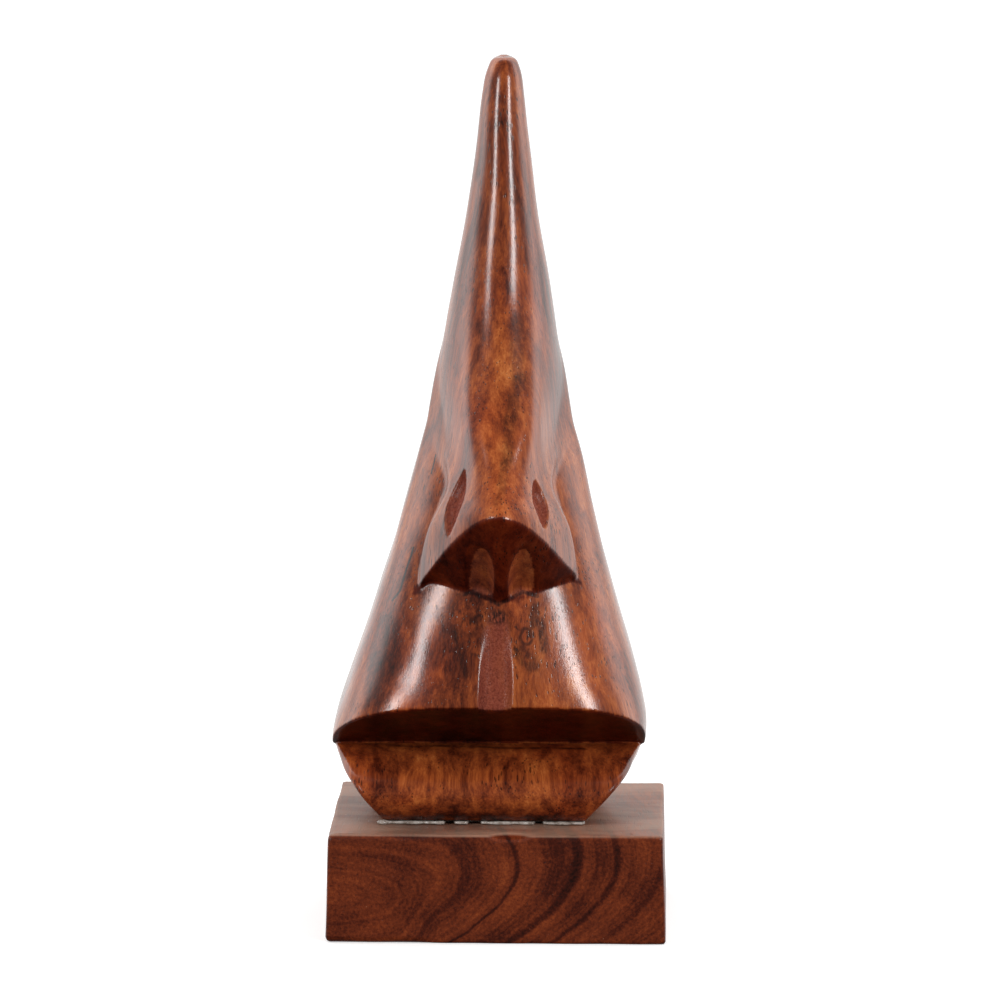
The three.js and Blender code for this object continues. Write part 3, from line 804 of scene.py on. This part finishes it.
def wood_tone(look, grain):
    """Lightness of plain wood: broad streaks, finer ones and hair-fine fibres along Z."""
    broad = look.noise(look.stretch(grain, 0.14, 0.14, 0.008), 1.0, 3.0, 0.5)
    streak = look.noise(look.stretch(grain, 0.55, 0.55, 0.014), 1.0, 4.0, 0.55)
    lines = look.noise(look.stretch(grain, 1.9, 1.9, 0.035), 1.0, 3.0, 0.6)
    fibre = look.noise(look.stretch(grain, 5.0, 5.0, 0.13), 1.0, 3.0, 0.6)
    tone = look.band(broad, 0.3, 0.7, 0.32, 0.62)
    for layer, amount in ((streak, 0.12), (lines, 0.08), (fibre, 0.06)):
        tone = look.math("MULTIPLY_ADD", look.band(layer, 0.3, 0.7, -1, 1), amount, tone)
    return tone, fibre


def marked_tone(look, grain, tone):
    """Adds the light heart of the ridge, the lighter and darker places of the cheeks, and painted shade
    along the foot of the chin.
    """
    for centre, half, change in (
        ((-0.6, -18.0, 104.0), (6.0, 24.0, 36.0), 0.14),
        ((-22.0, -14.0, 50.0), (5.0, 14.0, 15.0), -0.16),
        ((-8.5, -18.0, 51.0), (2.2, 8.0, 10.0), -0.2),
        ((-15.0, -18.0, 52.0), (1.6, 10.0, 12.0), 0.1),
        ((14.0, -16.0, 52.0), (9.0, 12.0, 16.0), 0.1),
        # painted shade: the foot of the chin is darkened where it curves under towards the base
        ((-2.5, -14.0, 22.0), (30.0, 14.0, 4.5), -0.22),
    ):
        tone = look.math("MULTIPLY_ADD", look.spot(grain, centre, half, 0.8), change, tone)
    return tone


def cut_marks(look, colour):
    """The line scored under the mouth and the drying cracks in the cheek."""
    dark = paint(26, 7, 4)
    ragged = look.wander(look.place, 0.3, (0.5, 0.25, 0.4))
    plan = look.stretch(ragged, 1, 1, 0)
    (x0, y0), (x1, y1) = SCORE_LINE
    line = look.stroke(plan, (x0, y0, 0), (x1, y1, 0), SCORE_WIDTH)
    height = look.add("SeparateXYZ", {0: look.place}).outputs["Z"]
    line = look.math("MULTIPLY", line, look.math("GREATER_THAN", height, SCORE_LOW_Z))
    line = look.math("MULTIPLY", line, look.math("LESS_THAN", height, SCORE_HIGH_Z))
    broken = look.band(look.noise(look.place, 0.35, 3.0, 0.6), 0.35, 0.6, 0.2, 0.75)
    colour = look.mix(look.math("MULTIPLY", line, broken), colour, dark)
    front = look.stretch(ragged, 1, 0, 1)
    depth = look.add("SeparateXYZ", {0: look.place}).outputs["Y"]
    ahead = look.math("LESS_THAN", depth, MARKS_BACK_Y)
    for points, width in CRACKS:
        for (xa, za), (xb, zb) in zip(points, points[1:]):
            crack = look.stroke(front, (xa, 0, za), (xb, 0, zb), width)
            colour = look.mix(look.math("MULTIPLY", crack, ahead), colour, dark)
    return colour


def dark_strokes(look, colour):
    """Feathery dark strokes of grain beside the knots and down the ridge, and painted crevice shadow under
    the nose.
    """
    ragged = look.wander(look.stretch(look.place, 1, 0, 1), 0.3, (1.8, 0.0, 0.9))
    depth = look.add("SeparateXYZ", {0: look.place}).outputs["Y"]
    ahead = look.math("LESS_THAN", depth, MARKS_BACK_Y)
    grainy = look.noise(look.stretch(look.place, 1.6, 1.6, 0.22), 1.0, 4.0, 0.65)
    grainy = look.math("MULTIPLY", look.band(grainy, 0.35, 0.6, 0.35, 1.0), ahead)
    for (xa, za), (xb, zb), width, strength in DARK_STROKES:
        stroke = look.stroke(ragged, (xa, 0, za), (xb, 0, zb), width)
        share = look.math("MULTIPLY", look.math("MULTIPLY", stroke, grainy), strength)
        colour = look.mix(share, colour, paint(44, 14, 8))
    return colour


def carved_wood():
    look = Look("carved_rosewood")
    grain = look.wander(lean_grain(look, look.place), 0.045, (5.0, 5.0, 0.0))
    grain = look.wander(grain, 0.22, (0.35, 0.35, 0.0))
    tone, fibre = wood_tone(look, grain)
    colour = look.ramp(marked_tone(look, look.place, tone), WOOD_TONES)
    reddish = look.noise(look.stretch(grain, 0.09, 0.09, 0.02), 1.0, 3.0, 0.55)
    colour = look.mix(look.band(reddish, 0.45, 0.7, 0.0, 0.5), colour, (1.0, 0.68, 0.62, 1), "MULTIPLY")
    for knot in KNOTS:
        shade, heart = knot_shade(look, knot)
        colour = look.mix(heart, colour, paint(160, 72, 30))
        colour = look.mix(look.math("MULTIPLY", shade, 0.85), colour, paint(44, 15, 9))
    colour = dark_strokes(look, colour)
    pore = pores(look, grain, 0.62, 4.2)
    colour = look.mix(look.math("MULTIPLY", pore, 0.7), colour, paint(30, 9, 5))
    # unpolished floors of the gouge cuts, and painted shade on the sawn planes, which face down under the
    # nose and the lip
    gouged = look.add("Attribute", {}, attribute_name="gouged").outputs["Fac"]
    sawn = look.add("Attribute", {}, attribute_name="sawn").outputs["Fac"]
    stipple = look.noise(look.place, 2.4, 4.0, 0.7)
    raw = look.ramp(
        stipple,
        [(0.3, paint(88, 36, 26)), (0.5, paint(140, 66, 50)), (0.7, paint(166, 90, 70))],
    )
    colour = look.mix(look.math("MULTIPLY", gouged, 0.85), colour, raw)
    # painted shadow of the nose tip at the top of the groove, broken into streaks
    nose_shadow_patch = look.spot(look.place, (0.2, -15.5, 60.9), (2.9, 5.0, 2.2), 0.8)
    streaky = look.band(look.noise(look.stretch(look.place, 1.8, 1.8, 0.5), 1.0, 3.0, 0.6), 0.4, 0.55)
    colour = look.mix(look.math("MULTIPLY", nose_shadow_patch, streaky), colour, paint(36, 14, 11))
    # painted shade: the sawn planes under the nose and in the mouth are darkened
    colour = look.mix(sawn, colour, (0.32, 0.16, 0.14, 1), "MULTIPLY")
    colour = cut_marks(look, colour)
    relief = look.math("MULTIPLY_ADD", pore, -0.8, fibre)
    relief = look.math("MULTIPLY_ADD", look.math("MULTIPLY", gouged, stipple), 3.0, relief)
    polish = look.math("MULTIPLY", look.band(gouged, 0, 1, 1.0, 0.15), look.band(sawn, 0, 1, 1, 0.3))
    height = look.add("SeparateXYZ", {0: look.place}).outputs["Z"]
    polish = look.math("MULTIPLY", polish, look.band(height, 26.5, 33.5, 0.15, 1.0))
    look.surface(
        Base_Color=colour,
        Roughness=look.band(gouged, 0.0, 1.0, 0.4, 0.68),
        Normal=look.bump(relief, 0.05),
        Coat_Weight=polish,
        Coat_Roughness=0.17,
        Coat_Normal=look.bump(relief, 0.014),
        Specular_IOR_Level=0.12,
    )
    return look.material


# Dark growth lines of the base: distance from the heart, half width, strength
GROWTH_LINES = [
    (7.5, 0.9, 0.08),
    (13.0, 0.7, 0.07),
    (22.5, 0.42, 0.24),
    (33.6, 0.8, 0.2),
    (41.0, 0.7, 0.1),
]


def growth_rings(look, place):
    """Distance from the heart of the plank, which lies along Y near its left end.

    The rings are long ovals at the left, and sweep down to the left further along.
    """
    axes = look.add("SeparateXYZ", {0: place}).outputs
    x = look.math("MULTIPLY_ADD", axes["Y"], 0.22, look.math("ADD", axes["X"], 5.6))
    beyond = look.math("MAXIMUM", look.math("ADD", x, 9.0), 0.0)
    across = look.math("MULTIPLY_ADD", x, 0.35, 31 * 0.35)
    across = look.math("MULTIPLY_ADD", beyond, 0.65, across)
    fall = look.math("SUBTRACT", 20.0, axes["Z"])
    bend = look.band(x, -20.0, -8.0, 0.0, 0.033)
    sweep = look.math("MULTIPLY", look.math("MULTIPLY", fall, fall), bend)
    across = look.math("ADD", across, sweep)
    height = look.math("SUBTRACT", axes["Z"], 9.0)
    square = look.math("ADD", look.math("MULTIPLY", across, across), look.math("MULTIPLY", height, height))
    return look.math("SQRT", square), axes["Y"]


def base_wood():
    look = Look("base_rosewood")
    place = look.wander(look.place, 0.07, (1.5, 2.0, 1.5))
    place = look.wander(place, 0.35, (0.8, 0.0, 0.8))
    ring, depth = growth_rings(look, place)
    follow = look.add("CombineXYZ", {"X": ring, "Y": depth, "Z": 0.0}).outputs[0]
    slow = look.noise(look.stretch(follow, 0.16, 0.012, 1), 1.0, 2.0, 0.5)
    medium = look.noise(look.stretch(follow, 0.9, 0.03, 1), 1.0, 3.0, 0.6)
    tone = look.band(slow, 0.3, 0.7, 0.26, 0.39)
    tone = look.math("MULTIPLY_ADD", look.band(medium, 0.3, 0.7, -1, 1), 0.06, tone)
    for radius, width, strength in GROWTH_LINES:
        away = look.math("ABSOLUTE", look.math("SUBTRACT", ring, radius))
        line = look.band(away, width * 1.8, width * 0.3)
        tone = look.math("MULTIPLY_ADD", line, -strength, tone)
    cloud = look.noise(look.place, 0.11, 4.0, 0.6)
    tone = look.math("MULTIPLY_ADD", look.band(cloud, 0.3, 0.7, -1, 1), 0.07, tone)
    fine = look.noise(look.stretch(place, 1.6, 0.12, 1.6), 1.0, 6.0, 0.7)
    tone = look.math("MULTIPLY_ADD", look.band(fine, 0.3, 0.7, -1, 1), 0.1, tone)
    speck = look.noise(look.stretch(look.place, 3.4, 0.35, 3.4), 1.0, 2.0, 0.5)
    pore = look.band(speck, 0.6, 0.72)
    tone = look.math("MULTIPLY_ADD", pore, -0.13, tone)
    colour = look.ramp(tone, WOOD_TONES)
    colour = look.mix(0.3, colour, (1.0, 0.7, 0.66, 1), "MULTIPLY")
    chip = look.band(look.noise(look.place, 1.5, 2.0, 0.5), 0.75, 0.79)
    colour = look.mix(look.math("MULTIPLY", chip, 0.4), colour, paint(196, 140, 110))
    # painted light on the upper face: a pale patchy colour that stands in for its grey sheen and the
    # brighter light from above
    height = look.add("SeparateXYZ", {0: look.place}).outputs["Z"]
    upper = look.band(height, HEIGHT - 0.5, HEIGHT - 0.1)
    patches = look.noise(look.stretch(look.place, 0.05, 0.14, 0.1), 1.0, 3.0, 0.6)
    film = look.band(patches, 0.35, 0.6, 0.27, 0.47)
    colour = look.mix(look.math("MULTIPLY", upper, film), colour, paint(196, 160, 136))
    relief = look.math("MULTIPLY_ADD", pore, -0.7, fine)
    look.surface(
        Base_Color=colour,
        Roughness=look.band(fine, 0.3, 0.7, 0.5, 0.62),
        Normal=look.bump(relief, 0.05),
        Coat_Weight=look.math("MULTIPLY_ADD", upper, -0.15, 0.5),
        Coat_Roughness=0.24,
        Coat_Normal=look.bump(relief, 0.02),
        Specular_IOR_Level=0.12,
    )
    return look.material


def dried_glue():
    look = Look("dried_glue")
    cloud = look.noise(look.place, 0.9, 4.0, 0.6)
    colour = look.ramp(
        cloud,
        [(0.3, paint(112, 98, 88)), (0.5, paint(168, 158, 149)), (0.7, paint(206, 200, 194))],
    )
    look.surface(
        Base_Color=colour,
        Roughness=look.band(cloud, 0.3, 0.7, 0.2, 0.4),
        Normal=look.bump(look.noise(look.place, 2.4, 3.0, 0.6), 0.06),
        Coat_Weight=0.5,
        Coat_Roughness=0.15,
    )
    return look.material


def screw_brass():
    look = Look("screw_brass")
    tarnish = look.noise(look.place, 0.8, 5.0, 0.65)
    scratch = look.noise(look.stretch(look.place, 6.0, 0.7, 6.0), 1.0, 3.0, 0.6)
    colour = look.ramp(
        tarnish,
        [(0.3, paint(134, 104, 58)), (0.5, paint(196, 160, 92)), (0.7, paint(214, 182, 116))],
    )
    look.surface(
        Base_Color=colour,
        Metallic=1.0,
        Roughness=look.band(scratch, 0.3, 0.7, 0.24, 0.46),
        Normal=look.bump(scratch, 0.01),
    )
    return look.material


# ---------------------------------------------------------------------------
# Making the pieces
# ---------------------------------------------------------------------------


def make_carving():
    low, high = (-34.3, -27.3, 20.2), (31.3, 18.6, 166.6)
    carving = carve("nose_carving_fine", carving_field, low, high, 0.35, 190000)
    carving_masks(carving)
    finish_piece(carving, "nose_carving", carved_wood())


def make_base():
    base = carve("base_block_fine", block_field, (-33.5, -26.7, -1.2), (33.5, 26.7, 22.2), 0.45, 90000)
    finish_piece(base, "base_block", base_wood())


def make_glue():
    glue = carve("glue_film_fine", glue_field, (-24, -17.6, 20.6), (18, 16, 22.4), 0.2, 60000)
    finish_piece(glue, "glue_film", dried_glue())


def make_screws():
    brass = screw_brass()
    left = carve("screw_left_fine", screw_field, (-16.4, -0.4, 0.6), (-7.6, 8.4, 31.8), 0.2, 40000)
    right = left.copy()
    right.data = left.data.copy()
    right.name = "screw_right_fine"
    right.data.transform(Matrix.Translation(((SCREW_X[1] - SCREW_X[0]) * MM, 0, 0)))
    bpy.context.scene.collection.objects.link(right)
    finish_piece(left, "screw_left", brass)
    finish_piece(right, "screw_right", brass)


# ---------------------------------------------------------------------------
# Studio
# ---------------------------------------------------------------------------


FLOOR_RADIUS, FLOOR_SIDES, FLOOR_Z = 9000, 64, -0.05
SOFTBOX_WIDTH, SOFTBOX_HEIGHT, SOFTBOX_DISTANCE = 0.2, 0.36, 1.0
SOFTBOX_AIM, SOFTBOX_ELEVATION = (0, 0, 0.08), 22.5
BRIGHTEST = 4.0
CAMERA_PLACE, CAMERA_LENS = (0.0319, -1.0989, 0.2503), 209.6
CAMERA_DOWN, CAMERA_TURN = math.radians(8.76), math.radians(1.655)


def floor():
    """A wide pale disc under the stand."""
    turns = np.linspace(0, 2 * math.pi, FLOOR_SIDES, endpoint=False)
    x, y = FLOOR_RADIUS * np.cos(turns), FLOOR_RADIUS * np.sin(turns)
    rim = np.stack([x, y, np.full(FLOOR_SIDES, FLOOR_Z)], axis=1)
    ground = mesh_object("floor", rim, np.arange(FLOOR_SIDES)[None, :], smooth=False)
    look = Look("floor_paint")
    shade = look.noise(look.place, 0.004, 2.0)
    pale = look.ramp(shade, [(0.3, (0.9, 0.9, 0.9, 1)), (0.7, (0.93, 0.93, 0.93, 1))])
    look.surface(Base_Color=pale, Roughness=0.9, Emission_Color=(1, 1, 1, 1), Emission_Strength=0.4)
    ground.data.materials.append(look.material)
    ground.visible_glossy = False
    ground.visible_diffuse = False


def softbox(name, azimuth, power):
    """A soft light that looks at the middle of the carving; azimuth 0 is straight in front."""
    a, e = math.radians(azimuth), math.radians(SOFTBOX_ELEVATION)
    out = Vector((math.sin(a) * math.cos(e), -math.cos(a) * math.cos(e), math.sin(e)))
    lamp = bpy.data.lights.new(name, "AREA")
    lamp.shape = "RECTANGLE"
    lamp.size, lamp.size_y, lamp.energy = SOFTBOX_WIDTH, SOFTBOX_HEIGHT, power
    holder = bpy.data.objects.new(name, lamp)
    bpy.context.scene.collection.objects.link(holder)
    holder.location = Vector(SOFTBOX_AIM) + out * SOFTBOX_DISTANCE
    holder.rotation_euler = (-out).to_track_quat("-Z", "Y").to_euler()


def brightness(nodes, links, component, stops):
    """A smooth curve from one component of a direction to a share of BRIGHTEST."""
    ramp = nodes.new("ShaderNodeValToRGB")
    ramp.color_ramp.interpolation = "EASE"
    while len(ramp.color_ramp.elements) < len(stops):
        ramp.color_ramp.elements.new(0.5)
    for element, (place, value) in zip(ramp.color_ramp.elements, stops):
        element.position = 0.5 + 0.5 * place
        element.color = (value / BRIGHTEST, value / BRIGHTEST, value / BRIGHTEST, 1)
    half = nodes.new("ShaderNodeMath")
    half.operation = "MULTIPLY_ADD"
    links.new(component, half.inputs[0])
    half.inputs[1].default_value = 0.5
    half.inputs[2].default_value = 0.5
    links.new(half.outputs[0], ramp.inputs[0])
    return ramp.outputs[0]


def white_surround():
    """A light tent: a white backdrop, brighter walls at its sides, dim in front and towards the ground."""
    world = bpy.data.worlds.new("studio")
    bpy.context.scene.world = world
    world.use_nodes = True
    nodes, links = world.node_tree.nodes, world.node_tree.links
    split = nodes.new("ShaderNodeSeparateXYZ")
    links.new(nodes.new("ShaderNodeTexCoord").outputs["Generated"], split.inputs[0])
    plain = [(-0.5, 0.22), (0.05, 1.15), (1.0, 1.0)]
    shiny = [(-0.35, 0.05), (0.0, 0.36), (0.25, 2.4), (0.45, 2.3), (0.7, 1.0), (1.0, 1.0)]
    tent = nodes.new("ShaderNodeMix")
    tent.data_type = "FLOAT"
    links.new(nodes.new("ShaderNodeLightPath").outputs["Is Glossy Ray"], tent.inputs["Factor"])
    links.new(brightness(nodes, links, split.outputs["Y"], plain), tent.inputs["A"])
    links.new(brightness(nodes, links, split.outputs["Y"], shiny), tent.inputs["B"])
    ground = brightness(nodes, links, split.outputs["Z"], [(-0.55, 0.15), (-0.25, 1.0), (1.0, 1.0)])
    product = nodes.new("ShaderNodeMath")
    product.operation = "MULTIPLY"
    links.new(tent.outputs["Result"], product.inputs[0])
    links.new(ground, product.inputs[1])
    strength = nodes.new("ShaderNodeMath")
    strength.operation = "MULTIPLY"
    links.new(product.outputs[0], strength.inputs[0])
    strength.inputs[1].default_value = BRIGHTEST**2
    links.new(strength.outputs[0], nodes["Background"].inputs["Strength"])
    nodes["Background"].inputs["Color"].default_value = (1, 0.99, 0.98, 1)


def camera():
    lens = bpy.data.cameras.new("camera")
    lens.lens, lens.sensor_width = CAMERA_LENS, 36.0
    lens.clip_end = 50.0
    holder = bpy.data.objects.new("camera", lens)
    bpy.context.scene.collection.objects.link(holder)
    holder.location = CAMERA_PLACE
    holder.rotation_euler = (math.pi / 2 - CAMERA_DOWN, 0, CAMERA_TURN)
    bpy.context.scene.camera = holder


make_carving()
make_base()
make_glue()
make_screws()
floor()
softbox("softbox_left", -44, 3.5)
softbox("softbox_right", 44, 4.3)
white_surround()
camera()
bpy.context.scene.view_settings.view_transform = "Standard"
